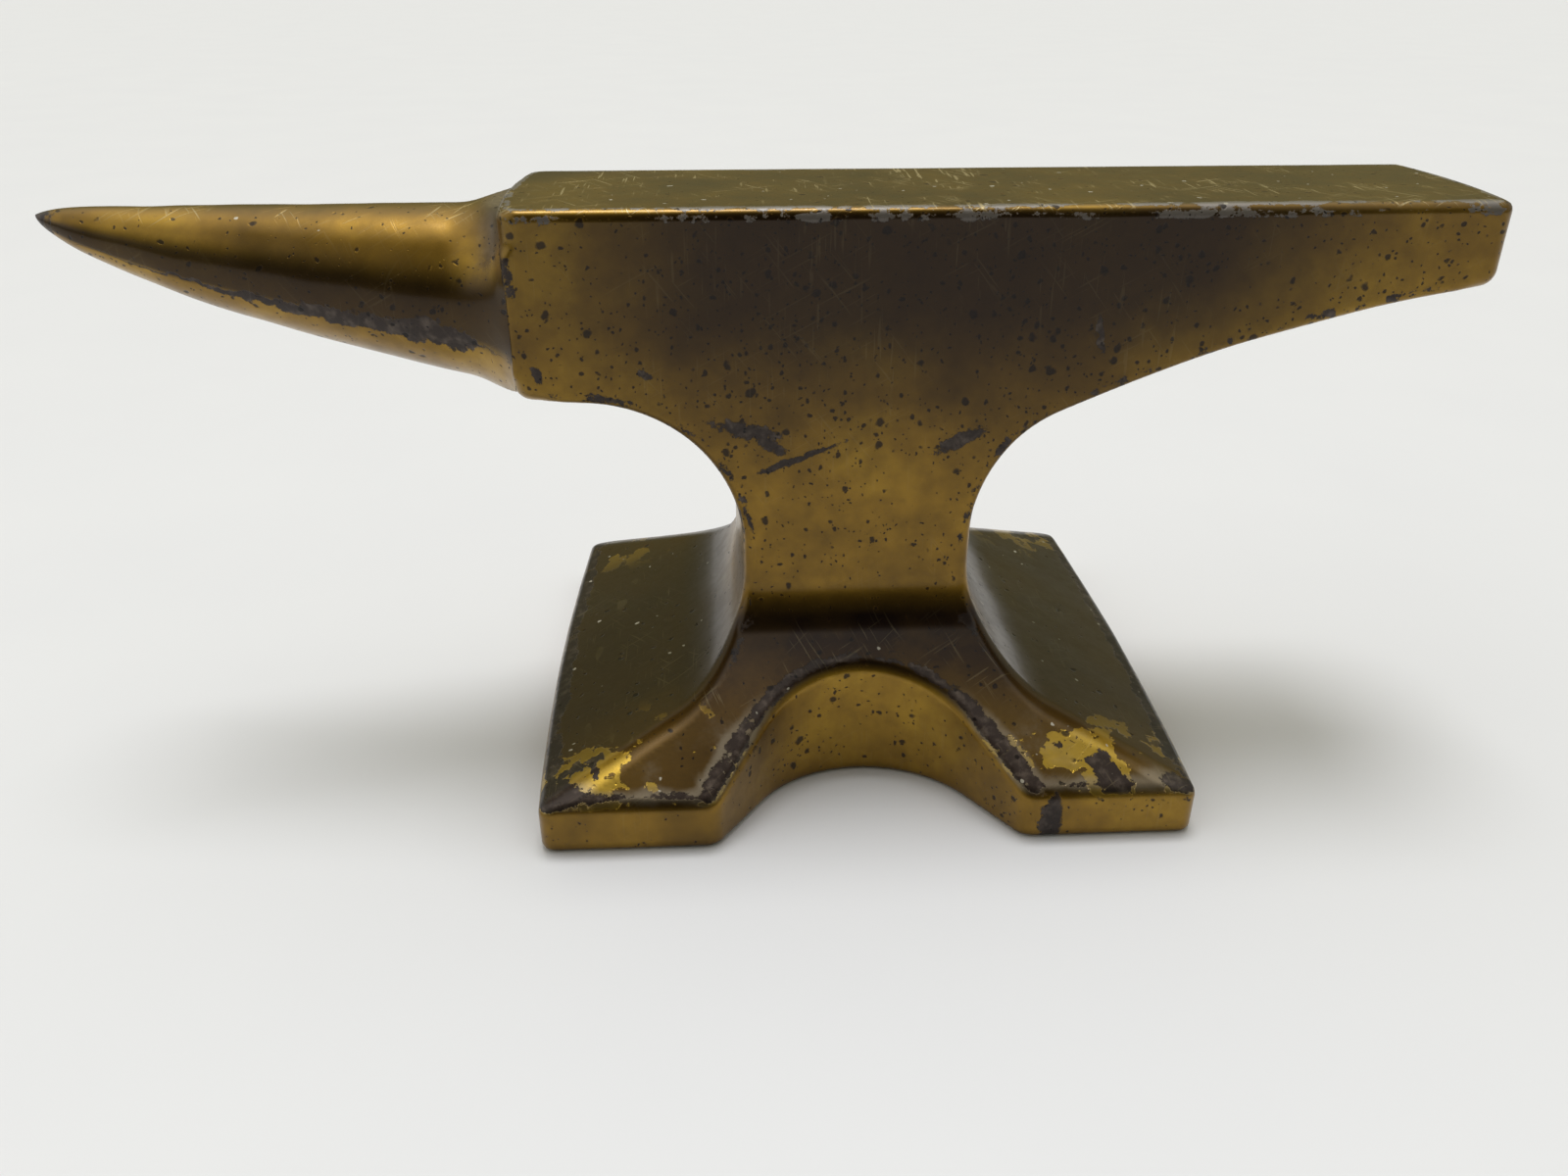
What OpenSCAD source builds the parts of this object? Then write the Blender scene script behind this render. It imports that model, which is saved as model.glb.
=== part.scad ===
// Small bench anvil in plated cast iron: round horn, long heel, narrow waist and four spread feet.
// Millimetres, +Z up. X runs along the face, horn at -X and heel at +X.
// The origin is the centre of the whole anvil's box, on the surface that the feet rest on.

/* [Overall] */
// Length from the horn's tip to the end of the heel
overall_length = 127; // [110:1:145]
// Height from the feet to the face
overall_height = 52; // [46:0.5:58]
// How far the horn stands out of the body
horn_length = 40.6; // [34:0.2:46]
// How far the middle of the base lies in front of the body's horn end
step_to_base_mid = 31; // [28:0.5:34]

/* [Face] */
// Width of the face
face_width = 20.4; // [18:0.2:24]
// Thickness of the face plate
face_plate_t = 3; // [2:0.25:4]
// Radius along the edges of the face
face_edge_r = 0.9; // [0.4:0.1:1.2]
// Radius of the face's corners, seen from above
face_corner_r = 1.6; // [1:0.1:2.5]
// How far the end of the heel bows out at its middle
heel_end_bow = 0.9; // [0.4:0.1:1.4]

/* [Body and heel] */
// Depth of the body at its horn end
body_depth = 16.4; // [14.5:0.2:17.5]
// Rise of the body's underside towards the horn, in degrees
underside_rise = 3; // [0:0.5:5]
// Radius of the body's lower corner under the horn
body_corner_r = 1.6; // [1:0.1:2.4]
// Long radius under the heel
heel_sweep_r = 135; // [115:1:170]
// Slope of the heel's underside where it leaves the waist, in degrees
heel_sweep_start = 24.7; // [22:0.1:27]
// Radius of the heel's lower corner
heel_corner_r = 1.2; // [0.8:0.1:2]

/* [Horn] */
// Radius of the horn where it meets the body
horn_root_r = 8.1; // [7:0.1:8.6]
// Bluntness of the horn: 1 is a straight cone, smaller is rounder
horn_power = 0.602; // [0.55:0.002:0.7]
// Drop from the face to the top of the horn
horn_drop = 1.2; // [0.8:0.1:2]
// How much lower the tip ends than the top of the horn
horn_tip_dip = 0.6; // [0.2:0.1:1]
// Radius of the fillet round the horn's root
horn_fillet_r = 1.8; // [1:0.1:2.4]

/* [Waist] */
// Width of the waist at its narrowest, along the length
waist_width = 21; // [19:0.2:24]
// Radius of the throat on the horn side
horn_throat_r = 14.1; // [13:0.1:15.5]
// Radius of the throat on the heel side
heel_throat_r = 12.6; // [11.5:0.1:13.5]
// Radius from the waist into the base, at both ends
flank_r = 11; // [9.5:0.1:12.5]
// Height of the centre of the radius at the waist's foot
flank_centre_z = 19.3; // [18.5:0.1:20]
// Radius from the waist into the base, front and back
front_fillet_r = 5.6; // [4.5:0.1:6.5]

/* [Base] */
// Length of the base at its corners
base_length = 58.2; // [53:0.2:64]
// How far each end of the base bows out at its middle
base_end_bow = 1; // [0.4:0.1:1.6]
// Depth of the base, front to back
base_depth = 53.8; // [49:0.2:59]
// Radius of the base's corners, seen from above
base_corner_r = 1.2; // [0.8:0.1:2]
// Slope of the base towards its ends, in degrees
flank_slope = 20.8; // [18:0.1:22]
// Slope of the base towards its front and back, in degrees
front_slope = 32.5; // [30:0.1:34]
// How far each arch cuts into the base
arch_depth = 11; // [9:0.2:12]
// Radius of the arch's crown
arch_r = 11.4; // [10:0.1:12.5]
// Angle of the arch's flared sides to the front of the base, in degrees
arch_flare = 55; // [50:1:62]
// Radius of the feet's inner corners
foot_corner_r = 2; // [1:0.1:3]

/* [Hidden] */
half_w = face_width / 2;
half_d = base_depth / 2;
half_waist = waist_width / 2;
tip_x = -overall_length / 2;
heel_x = overall_length / 2;
step_x = tip_x + horn_length;             // the body's horn end
mid_x = step_x + step_to_base_mid;        // the middle of the base and waist
top_z = overall_height;
under_z = top_z - body_depth;             // the body's underside beside the throat
plate_z = top_z - face_plate_t;

// the throats are limited by the room between the body and the radius at the waist's foot
throat_room = under_z - flank_centre_z;
horn_throat_used = min(horn_throat_r, throat_room);
heel_throat_used = min(heel_throat_r, throat_room);

// seams between the pieces
waist_top_z = under_z - 5.6;
waist_foot_z = flank_centre_z - 7.3;
heel_seam_x = mid_x + 19;
foot_seam = 14.8;

// the horn's skin
rings = 26;
sides = 48;

brass_dark = [0.33, 0.25, 0.11];
brass = [0.47, 0.36, 0.15];
brass_light = [0.58, 0.45, 0.17];

// Points of an arc about c from angle a0 to a1, in n steps
function arc(c, r, a0, a1, n) =
  [for (i = [0 : n]) let (a = a0 + (a1 - a0) * i / n) c + r * [cos(a), sin(a)]];
function reversed(l) = [for (i = [len(l) - 1 : -1 : 0]) l[i]];
function flip_x(l) = reversed([for (p = l) [-p[0], p[1]]]);
function flip_y(l) = reversed([for (p = l) [p[0], -p[1]]]);

// the waist's two lower radii, and the straight slopes that leave them
flank_l = [mid_x - half_waist - flank_r, flank_centre_z];
flank_rt = [mid_x + half_waist + flank_r, flank_centre_z];
flank_end = [sin(flank_slope), cos(flank_slope)] * flank_r;
function flank_z(dx) = flank_centre_z - flank_end[1]
    - (dx - (half_waist + flank_r - flank_end[0])) * tan(flank_slope);
foot_z = flank_z(base_length / 2);        // height of the feet's outer corners

// the two throats, and the long sweep that carries the second one out under the heel
horn_throat = [mid_x - half_waist - horn_throat_used, under_z - horn_throat_used];
heel_throat = [mid_x + half_waist + heel_throat_used, under_z - horn_throat_used + 1.2];
sweep_out = [-sin(heel_sweep_start), cos(heel_sweep_start)];
sweep_centre = heel_throat + (heel_throat_used - heel_sweep_r) * sweep_out;
sweep_end = asin((sweep_centre[0] + heel_corner_r - heel_x) / (heel_sweep_r + heel_corner_r));
heel_corner = sweep_centre + (heel_sweep_r + heel_corner_r) * [-sin(sweep_end), cos(sweep_end)];

// the body's underside, rising from the throat to the corner under the horn
under_start = horn_throat + horn_throat_used * [sin(underside_rise), cos(underside_rise)];
body_corner = [step_x + body_corner_r,
    under_start[1] + (under_start[0] - step_x - body_corner_r) * tan(underside_rise)
    + body_corner_r / cos(underside_rise)];

// the sloping front of the base, and the fillet that carries it up into the body
front_fillet = [half_w + front_fillet_r, foot_z + (half_d - half_w) * tan(front_slope)
    + front_fillet_r * tan((90 - front_slope) / 2)];

// The anvil without its horn, seen from the front
side_points = concat(
  arc([step_x + face_edge_r, top_z - face_edge_r], face_edge_r, 90, 180, 5),
  arc(body_corner, body_corner_r, 180, 270 - underside_rise, 6),
  arc(horn_throat, horn_throat_used, 90 - underside_rise, 0, 20),
  arc(flank_l, flank_r, 0, flank_slope - 90, 14),
  [[mid_x - 36, flank_z(36)], [mid_x - 36, 0], [mid_x + 36, 0], [mid_x + 36, flank_z(36)]],
  arc(flank_rt, flank_r, 270 - flank_slope, 180, 14),
  arc(heel_throat, heel_throat_used, 180, 90 + heel_sweep_start, 14),
  arc(sweep_centre, heel_sweep_r, 90 + heel_sweep_start, 90 + sweep_end, 12),
  arc(heel_corner, heel_corner_r, 270 + sweep_end, 360, 5),
  arc([heel_x - face_edge_r, top_z - face_edge_r], face_edge_r, 0, 90, 5));

// The right half of the anvil seen from its end, from the ground up
end_half = concat(
  [[half_d, 0], [half_d, foot_z]],
  arc(front_fillet, front_fillet_r, 270 - front_slope, 180, 9),
  arc([half_w - face_edge_r, top_z - face_edge_r], face_edge_r, 0, 90, 5));

// One bowed end of a plan with rounded corners, facing +X: e is its middle, from -Y to +Y
function bowed_end(e, hw, bow, r) =
  let (big_r = (hw * hw + bow * bow) / (2 * bow),
       a = asin((hw - r) / (big_r - r)),
       cx = e - big_r + (big_r - r) * cos(a))
  concat(arc([cx, r - hw], r, -90, -a, 4),
         arc([e - big_r, 0], big_r, -a, a, 12),
         arc([cx, hw - r], r, a, 90, 4));

// The body seen from above
body_points = concat(
  bowed_end(heel_x, half_w, heel_end_bow, face_corner_r * 0.6),
  arc([step_x + face_corner_r, half_w - face_corner_r], face_corner_r, 90, 180, 6),
  arc([step_x + face_corner_r, face_corner_r - half_w], face_corner_r, 180, 270, 6));

// The right half of the front arch, from its crown to the foot's inner corner
arch_centre = [0, -half_d + arch_depth - arch_r];
arch_foot_x = arch_r * sin(arch_flare)
    + (half_d + arch_centre[1] + arch_r * cos(arch_flare)) / tan(arch_flare)
    + foot_corner_r * tan(arch_flare / 2);
arch_half = concat(
  arc(arch_centre, arch_r, 90, 90 - arch_flare, 12),
  arc([arch_foot_x, foot_corner_r - half_d], foot_corner_r, 270 - arch_flare, 270, 5));

// The base seen from above, about its own middle
base_end = bowed_end(base_length / 2 + base_end_bow, half_d, base_end_bow, base_corner_r);
arch_half_open = [for (i = [1 : len(arch_half) - 1]) arch_half[i]];
base_points = concat(arch_half, base_end, flip_y(arch_half), flip_x(flip_y(arch_half_open)) ,
                     flip_x(base_end), flip_x(arch_half_open));

// The anvil but its horn, before its plan is cut
module block() {
  intersection() {
    translate([0, 200, 0]) rotate([90, 0, 0]) linear_extrude(400) polygon(side_points);
    translate([-200, 0, 0]) rotate([90, 0, 90]) linear_extrude(400)
      polygon(concat(end_half, flip_x(end_half)));
  }
}

// A block between two heights and two lengths
module slab(x1, x2, y1, y2, z1, z2) {
  translate([x1, y1, z1]) cube([x2 - x1, y2 - y1, z2 - z1]);
}

// The part of the body between two lengths and two heights
module body_part(x1, x2, z1, z2) {
  intersection() {
    block();
    translate([0, 0, z1]) linear_extrude(z2 - z1) polygon(body_points);
    slab(x1, x2, -30, 30, z1, z2);
  }
}

// The part of the base inside a rectangle of its plan
module base_part(x1, x2, y1, y2) {
  intersection() {
    block();
    translate([mid_x, 0, 0]) linear_extrude(waist_foot_z) polygon(base_points);
    slab(x1, x2, y1, y2, 0, waist_foot_z);
  }
}

module face_plate() {
  color(brass_dark) body_part(step_x, heel_x + 1, plate_z, top_z);
}

module upper_body() {
  color(brass) body_part(step_x, heel_seam_x, waist_top_z, plate_z);
}

module heel() {
  color(brass) body_part(heel_seam_x, heel_x + 1, waist_top_z, plate_z);
}

module waist() {
  color(brass) intersection() {
    block();
    slab(mid_x - 20, mid_x + 20, -30, 30, waist_foot_z, waist_top_z);
  }
}

module base_block() {
  color(brass_dark) base_part(mid_x - foot_seam, mid_x + foot_seam, -half_d - 1, half_d + 1);
}

// One of the four feet: sx is -1 on the horn side, sy is -1 at the front
module foot(sx, sy) {
  color(brass_light) base_part(sx < 0 ? mid_x - 40 : mid_x + foot_seam,
                               sx < 0 ? mid_x - foot_seam : mid_x + 40,
                               sy < 0 ? -half_d - 1 : 0, sy < 0 ? 0 : half_d + 1);
}

module foot_front_left() { foot(-1, -1); }
module foot_front_right() { foot(1, -1); }
module foot_back_left() { foot(-1, 1); }
module foot_back_right() { foot(1, 1); }

// Radius of the horn at s from its tip, with the fillet at its root
function horn_r(s) = horn_root_r * pow(s / horn_length, horn_power)
    + (s > horn_length - horn_fillet_r
       ? horn_fillet_r - sqrt(pow(horn_fillet_r, 2) - pow(s - horn_length + horn_fillet_r, 2)) : 0);
// Height of the middle of the horn at s from its tip
function horn_mid_z(s) = top_z - horn_drop - horn_tip_dip * exp(-s / 1.5)
    - horn_root_r * pow(s / horn_length, horn_power);
// Distances of the rings from the tip: close together at the tip and at the root's fillet
ring_s = [for (i = [1 : rings]) let (u = i / rings)
          u <= 0.8 ? (horn_length - horn_fillet_r) * pow(u / 0.8, 1.8)
                   : horn_length - horn_fillet_r * (1 - sin(90 * (u - 0.8) / 0.2))];
// A point of the horn's skin, held inside the end of the body
function horn_pt(s, a) = let (r = horn_r(s), m = horn_mid_z(s))
    [tip_x + s, min(max(r * cos(a), 0.4 - half_w), half_w - 0.4),
     min(max(m + r * sin(a), under_z + 0.1), top_z - 0.45)];

module horn() {
  pts = concat([[tip_x, 0, horn_mid_z(0)]],
               [for (s = ring_s, j = [0 : sides - 1]) horn_pt(s, 360 * j / sides)],
               [[step_x, 0, horn_mid_z(horn_length)]]);
  last = 1 + rings * sides;
  faces = concat(
    [for (j = [0 : sides - 1]) [0, 1 + (j + 1) % sides, 1 + j]],
    [for (i = [0 : rings - 2], j = [0 : sides - 1])
      let (a = 1 + i * sides + j, b = 1 + i * sides + (j + 1) % sides)
      [a, b, b + sides, a + sides]],
    [for (j = [0 : sides - 1])
      let (a = last - sides + j, b = last - sides + (j + 1) % sides) [last, a, b]]);
  color(brass) polyhedron(points = pts, faces = faces, convexity = 4);
}

face_plate();
upper_body();
horn();
heel();
waist();
base_block();
foot_front_left();
foot_front_right();
foot_back_left();
foot_back_right();
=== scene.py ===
"""A small bench anvil in worn, brass-coloured plating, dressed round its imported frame.

Lengths are in millimetres until a mesh is handed to Blender, which takes metres. +X runs from the horn to the
heel, +Y to the back and +Z up out of the face, and the anvil stands on z = 0.
"""

from __future__ import annotations

import logging
import math
from dataclasses import dataclass, field
from enum import Enum
from typing import Any, Sequence, Union

import bmesh
import bpy
import numpy as np
import openvdb
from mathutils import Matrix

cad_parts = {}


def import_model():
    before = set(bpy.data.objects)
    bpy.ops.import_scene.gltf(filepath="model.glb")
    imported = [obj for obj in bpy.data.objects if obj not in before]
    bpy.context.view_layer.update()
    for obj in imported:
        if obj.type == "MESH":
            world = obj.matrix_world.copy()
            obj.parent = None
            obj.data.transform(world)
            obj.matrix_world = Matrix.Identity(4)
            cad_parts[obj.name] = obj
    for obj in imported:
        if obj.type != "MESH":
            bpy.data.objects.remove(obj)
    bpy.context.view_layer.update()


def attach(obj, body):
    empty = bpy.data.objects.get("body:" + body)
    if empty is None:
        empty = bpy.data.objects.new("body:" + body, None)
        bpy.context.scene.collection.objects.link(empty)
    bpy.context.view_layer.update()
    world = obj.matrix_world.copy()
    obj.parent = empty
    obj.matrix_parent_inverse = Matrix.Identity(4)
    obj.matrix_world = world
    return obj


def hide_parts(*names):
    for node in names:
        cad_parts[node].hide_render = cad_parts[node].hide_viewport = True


log = logging.getLogger("anvil")

Array = np.ndarray
Pair = tuple[float, float]
MM = 0.001


class Member(Enum):
    """The members that the casting is divided into, by their names in the frame."""

    FACE_PLATE = "face_plate"
    UPPER_BODY = "upper_body"
    HORN = "horn"
    HEEL = "heel"
    WAIST = "waist"
    BASE_BLOCK = "base_block"
    FOOT_FRONT_LEFT = "foot_front_left"
    FOOT_FRONT_RIGHT = "foot_front_right"
    FOOT_BACK_LEFT = "foot_back_left"
    FOOT_BACK_RIGHT = "foot_back_right"


class Zone(Enum):
    """The record's finish slots, one for each way that the plating has worn and has its shade painted."""

    FACE = "face_plating"
    BODY = "body_plating"
    HORN = "horn_plating"
    BASE = "base_plating"


@dataclass(frozen=True)
class AnvilSizes:
    """The anvil's driving sizes, the same as the part's own source, in millimetres and degrees."""

    length: float = 127.0
    height: float = 52.0
    horn_length: float = 40.6
    step_to_middle: float = 31.0
    face_width: float = 20.4
    plate_thickness: float = 3.0
    body_depth: float = 16.4
    underside_rise: float = 3.0
    sweep_radius: float = 135.0
    sweep_start: float = 24.7
    horn_throat_radius: float = 14.1
    heel_throat_radius: float = 12.6
    waist_width: float = 21.0
    flank_radius: float = 11.0
    flank_centre: float = 19.3
    front_fillet: float = 5.6
    base_length: float = 58.2
    base_depth: float = 53.8
    base_bow: float = 1.0
    base_corner: float = 1.2
    flank_slope: float = 20.8
    front_slope: float = 32.5
    arch_depth: float = 11.0
    arch_radius: float = 11.4
    arch_flare: float = 55.0
    foot_corner: float = 2.0
    heel_bow: float = 0.9
    step_bow: float = 0.8
    waist_top: float = 30.0
    waist_foot: float = 12.0
    heel_seam: float = 19.0
    foot_seam: float = 14.8

    @property
    def step_x(self) -> float:
        """Where the horn meets the body."""
        return -self.length / 2 + self.horn_length

    @property
    def middle_x(self) -> float:
        """The middle of the waist and the base."""
        return self.step_x + self.step_to_middle


@dataclass(frozen=True)
class Line:
    """A straight stretch of an outline."""

    start: Pair
    end: Pair

    def distance(self, u: Array, v: Array) -> Array:
        """Unsigned distance to the stretch."""
        du, dv = self.end[0] - self.start[0], self.end[1] - self.start[1]
        t = np.clip(((u - self.start[0]) * du + (v - self.start[1]) * dv) / (du * du + dv * dv), 0.0, 1.0)
        return np.hypot(u - self.start[0] - t * du, v - self.start[1] - t * dv)

    def crossed(self, u: Array, v: Array) -> Array:
        """Whether a ray towards +u crosses the stretch."""
        (u0, v0), (u1, v1) = self.start, self.end
        if v0 == v1:
            return np.zeros(np.broadcast(u, v).shape, bool)
        return ((v0 > v) != (v1 > v)) & (u < u0 + (v - v0) * (u1 - u0) / (v1 - v0))


@dataclass(frozen=True)
class Arc:
    """A circular stretch of an outline, from one angle to another."""

    centre: Pair
    radius: float
    start: float
    end: float

    def point(self, angle: float) -> Pair:
        """The point of the arc's circle at an angle in degrees."""
        a = math.radians(angle)
        return self.centre[0] + self.radius * math.cos(a), self.centre[1] + self.radius * math.sin(a)

    def _within(self, du: Array, dv: Array) -> Array:
        """Whether directions from the centre fall inside the arc's sweep."""
        middle = math.radians((self.start + self.end) / 2)
        half = math.radians(abs(self.end - self.start) / 2)
        reach = np.hypot(du, dv) + 1e-12
        return (du * math.cos(middle) + dv * math.sin(middle)) / reach >= math.cos(half)

    def distance(self, u: Array, v: Array) -> Array:
        """Unsigned distance to the arc."""
        du, dv = u - self.centre[0], v - self.centre[1]
        ring = np.abs(np.hypot(du, dv) - self.radius)
        (a0, a1), (b0, b1) = self.point(self.start), self.point(self.end)
        ends = np.minimum(np.hypot(u - a0, v - a1), np.hypot(u - b0, v - b1))
        return np.where(self._within(du, dv), ring, ends)

    def crossed(self, u: Array, v: Array) -> Array:
        """Whether a ray towards +u crosses the arc an odd number of times."""
        dv = v - self.centre[1]
        root = self.radius**2 - dv**2
        reach = np.sqrt(np.maximum(root, 0.0))
        odd = np.zeros(np.broadcast(u, v).shape, bool)
        for side in (-1.0, 1.0):
            hit = (root > 0) & self._within(side * reach, dv) & (self.centre[0] + side * reach > u)
            odd ^= hit
        return odd


@dataclass(frozen=True)
class Outline:
    """A closed outline of lines and arcs, with a signed distance that is negative inside."""

    stretches: Sequence[Union[Line, Arc]]

    def distance(self, u: Array, v: Array) -> Array:
        """Signed distance from points to the outline.

        Args:
            u: The first coordinate of each point.
            v: The second coordinate of each point.

        Returns:
            The distance, below zero inside the outline.
        """
        near = None
        inside = np.zeros(np.broadcast(u, v).shape, bool)
        for stretch in self.stretches:
            far = stretch.distance(u, v)
            near = far if near is None else np.minimum(near, far)
            inside ^= stretch.crossed(u, v)
        return np.where(inside, -near, near)


def chain(*parts: Union[Pair, Arc]) -> Outline:
    """Joins corner points and arcs, in order, into one closed outline.

    Args:
        parts: Corner points as pairs, and arcs that run from their start to their end.

    Returns:
        The closed outline.
    """
    stretches: list[Union[Line, Arc]] = []
    last: Pair | None = None
    first: Pair | None = None
    for part in parts:
        begin = part.point(part.start) if isinstance(part, Arc) else part
        if last is not None and math.dist(last, begin) > 1e-7:
            stretches.append(Line(last, begin))
        if isinstance(part, Arc):
            stretches.append(part)
            last = part.point(part.end)
        else:
            last = part
        first = begin if first is None else first
    if math.dist(last, first) > 1e-7:
        stretches.append(Line(last, first))
    return Outline(tuple(stretches))


def meet(a: Array, b: Array, radius: Union[float, Array]) -> Array:
    """What two solids share, with the edge between them rounded to a radius."""
    rounded = np.hypot(np.maximum(a + radius, 0.0), np.maximum(b + radius, 0.0))
    return np.minimum(np.maximum(a, b), -radius) + rounded


def ease(value: Array, low: float, high: float) -> Array:
    """A smooth step from 0 at low to 1 at high."""
    t = np.clip((value - low) / (high - low), 0.0, 1.0)
    return t * t * (3.0 - 2.0 * t)


@dataclass
class CastForm:
    """The shape of the whole casting but its horn, as one signed distance in millimetres.

    Three outlines are crossed: one seen from the front, one from the end and one from above. Their crossings
    give the crease lines that run from the waist to the corners of the base.
    """

    sizes: AnvilSizes
    edge_radius: float = 0.9
    under_radius: float = 0.55
    crease_radius: float = 0.9
    foot_radius: float = 0.75
    sole_radius: float = 0.7
    belly: float = 0.7
    side: Outline = field(init=False)
    end: Outline = field(init=False)
    base: Outline = field(init=False)

    def __post_init__(self) -> None:
        """Works out the three outlines from the sizes."""
        s = self.sizes
        sin, cos, tan, rad = math.sin, math.cos, math.tan, math.radians
        half_waist, half_w, half_d = s.waist_width / 2, s.face_width / 2, s.base_depth / 2
        under = s.height - s.body_depth
        slope = rad(s.flank_slope)
        leave = half_waist + s.flank_radius * (1 - sin(slope))
        leave_z = s.flank_centre - s.flank_radius * cos(slope)
        out = 46.0
        low = leave_z - (out - leave) * tan(slope)
        throat = Arc((-half_waist - s.horn_throat_radius, under - s.horn_throat_radius), s.horn_throat_radius,
                     90 - s.underside_rise, 0)
        start = throat.point(throat.start)
        heel_throat = Arc((half_waist + s.heel_throat_radius, under - s.horn_throat_radius + 1.2),
                          s.heel_throat_radius, 180, 90 + s.sweep_start)
        turn = rad(s.sweep_start)
        back = s.heel_throat_radius - s.sweep_radius
        sweep = Arc((heel_throat.centre[0] - back * sin(turn), heel_throat.centre[1] + back * cos(turn)),
                    s.sweep_radius, 90 + s.sweep_start, 83)
        self.side = chain(
            (95.0, s.height), (-70.0, s.height), (-70.0, start[1] + (start[0] + 70) * tan(rad(s.underside_rise))),
            throat, Arc((-half_waist - s.flank_radius, s.flank_centre), s.flank_radius, 0, s.flank_slope - 90),
            (-out, low), (-out, -25.0), (out, -25.0), (out, low),
            Arc((half_waist + s.flank_radius, s.flank_centre), s.flank_radius, 270 - s.flank_slope, 180),
            heel_throat, sweep, (95.0, sweep.point(83)[1]))
        foot_z = leave_z - (s.base_length / 2 - leave) * tan(slope)
        front = rad(s.front_slope)
        fillet_z = foot_z + (half_d - half_w) * tan(front) + s.front_fillet * tan((math.pi / 2 - front) / 2)
        fillet = Arc((half_w + s.front_fillet, fillet_z), s.front_fillet, 270 - s.front_slope, 180)
        last = foot_z + (half_d - 60.0) * tan(front)
        self.end = chain((-50.0, -25.0), (60.0, -25.0), (60.0, last), fillet, (half_w, 85.0), (-50.0, 85.0))
        crown = Arc((0.0, half_d - s.arch_depth + s.arch_radius), s.arch_radius, 270, 270 + s.arch_flare)
        flare = rad(s.arch_flare)
        rise = half_d - crown.point(crown.end)[1]
        foot_x = crown.point(crown.end)[0] + rise / tan(flare) + s.foot_corner * tan(flare / 2)
        bow = (half_d**2 + s.base_bow**2) / (2 * s.base_bow)
        tip = s.base_length / 2 + s.base_bow
        lean = math.asin((half_d - s.base_corner) / (bow - s.base_corner))
        corner = (tip - bow + (bow - s.base_corner) * cos(lean), half_d - s.base_corner)
        self.base = chain(
            crown, Arc((foot_x, half_d - s.foot_corner), s.foot_corner, 90 + s.arch_flare, 90),
            Arc(corner, s.base_corner, 90, math.degrees(lean)),
            Arc((tip - bow, 0.0), bow, math.degrees(lean), 0), (tip, -60.0), (-60.0, -60.0),
            (-60.0, half_d - s.arch_depth))

    def _body_ends(self, u: Array, y: Array) -> Array:
        """Distance to the body's two bowed ends, seen from above."""
        s = self.sizes
        half_w, heel = s.face_width / 2, s.length / 2 - s.middle_x
        left = (half_w**2 + s.step_bow**2) / (2 * s.step_bow)
        right = (half_w**2 + s.heel_bow**2) / (2 * s.heel_bow)
        return np.maximum(np.hypot(u + s.step_to_middle - left, y) - left, np.hypot(u - heel + right, y) - right)

    @staticmethod
    def _waves(u: Array, y: Array, z: Array) -> Array:
        """The slow unevenness that a cast and polished surface keeps, under a tenth of a millimetre."""
        one = np.sin(u / 4.3 + 0.7 * np.sin(z / 5.1) + 0.4) * np.sin(y / 3.9 + 1.1) * np.sin(z / 4.9 + u / 11.0)
        two = np.sin(u / 2.1 + y / 2.9 + 2.0) * np.sin(z / 2.4 - y / 3.3 + 0.3)
        return 0.055 * one + 0.018 * two

    def _mix(self, u: Array, y: Array, z: Array, soled: bool = True) -> Array:
        """Crosses the outlines' distances into the distance to the whole casting."""
        half_w = self.sizes.face_width / 2
        end, ends = self.end.distance(np.abs(y), z), self._body_ends(u, y)
        base = self.base.distance(np.abs(u), np.abs(y))
        # the throats, the waist and the heel's underside are crowned across the anvil
        crown = 1 - np.minimum(1.0, (y / half_w) ** 2)
        side = self.side.distance(u, z) - self.belly * crown * (1 - ease(z, 47.0, 50.5)) * ease(z, 14.0, 19.0)
        upper_edge = ease(z, 46.0, 49.0)
        step_corner = (1 - ease(u, -29.0, -26.0)) * (1 - upper_edge)
        heel_corner = ease(u, 51.0, 54.0) * (1 - upper_edge)
        edge = self.under_radius + (self.edge_radius - self.under_radius) * upper_edge
        edge = edge + 0.9 * step_corner + 0.6 * heel_corner
        beside_horn = ease(z, 36.8, 38.6) * (1 - ease(z, 47.6, 49.6))
        plan = meet(end, ends, 0.95 + (0.75 - 1.35 * beside_horn) * (1 - ease(u, -28.0, 0.0)))
        top = meet(plan, side, edge)
        low = meet(meet(side, end, self.crease_radius), base, self.foot_radius)
        low = meet(low, -z, self.sole_radius) if soled else low
        share = ease(z, 21.0, 27.0)
        calm = ease(z, 0.3, 2.5) * (1 - 0.7 * ease(z, 50.0, 52.0))
        return low + (top - low) * share + self._waves(u, y, z) * calm

    def distance(self, points: Array, soled: bool = True) -> Array:
        """Distance from points to the casting.

        Args:
            points: An N by 3 array in the frame's millimetres.
            soled: Whether the casting ends at the ground.

        Returns:
            The N distances, below zero inside the metal.
        """
        u, y, z = points[:, 0] - self.sizes.middle_x, points[:, 1], points[:, 2]
        return self._mix(u, y, z, soled)

    def sampled(self, low: Array, counts: tuple[int, int, int], step: float) -> Array:
        """The distance on a regular grid, each outline worked out once on its own plane."""
        u = (low[0] + step * np.arange(counts[0]) - self.sizes.middle_x)[:, None, None]
        y = (low[1] + step * np.arange(counts[1]))[None, :, None]
        z = (low[2] + step * np.arange(counts[2]))[None, None, :]
        return self._mix(u, y, z)

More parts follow.
